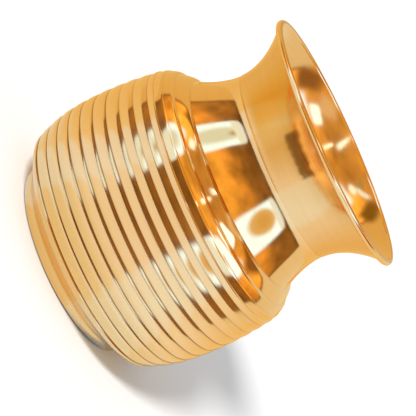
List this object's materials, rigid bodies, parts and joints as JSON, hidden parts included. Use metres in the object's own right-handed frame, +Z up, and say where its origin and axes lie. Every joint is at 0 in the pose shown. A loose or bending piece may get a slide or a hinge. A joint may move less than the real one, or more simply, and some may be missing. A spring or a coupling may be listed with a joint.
{
  "type": "kalash water pot",
  "caption": "Round brass kalash pot with a ribbed belly, stepped shoulder, narrow neck and wide flared mouth on a low foot ring.",
  "frame": {"origin": "centre of the flat face under the foot ring, which the pot stands on", "axes": "+Z up along the axis of the turned pot, from the foot to the mouth; X and Y are alike because the pot is round"},
  "size_m": [0.0946, 0.0946, 0.1],
  "materials": {
    "foot_brass": "turned and polished, with the tread rubbed dull where it stands",
    "base_brass": "plain sheet, lightly turned, a little duller than the outside",
    "belly_brass": "turned ribs, polished, with fine tool lines round the pot",
    "shoulder_brass": "mirror polished, with fine tool lines round the pot",
    "neck_brass": "mirror polished outside, finely turned inside",
    "rim_brass": "polished rounded lip",
    "braze_alloy": "pale brazing alloy, left as it flowed"
  },
  "bodies": {
    "root": {"foot_ring": "foot_brass", "base_disc": "base_brass", "belly_shell": "belly_brass", "shoulder_shell": "shoulder_brass", "neck_flare": "neck_brass", "rim_ring": "rim_brass", "foot_seam": "braze_alloy", "base_seam": "braze_alloy", "shoulder_seam": "braze_alloy", "neck_seam": "braze_alloy"}
  },
  "joints": []
}
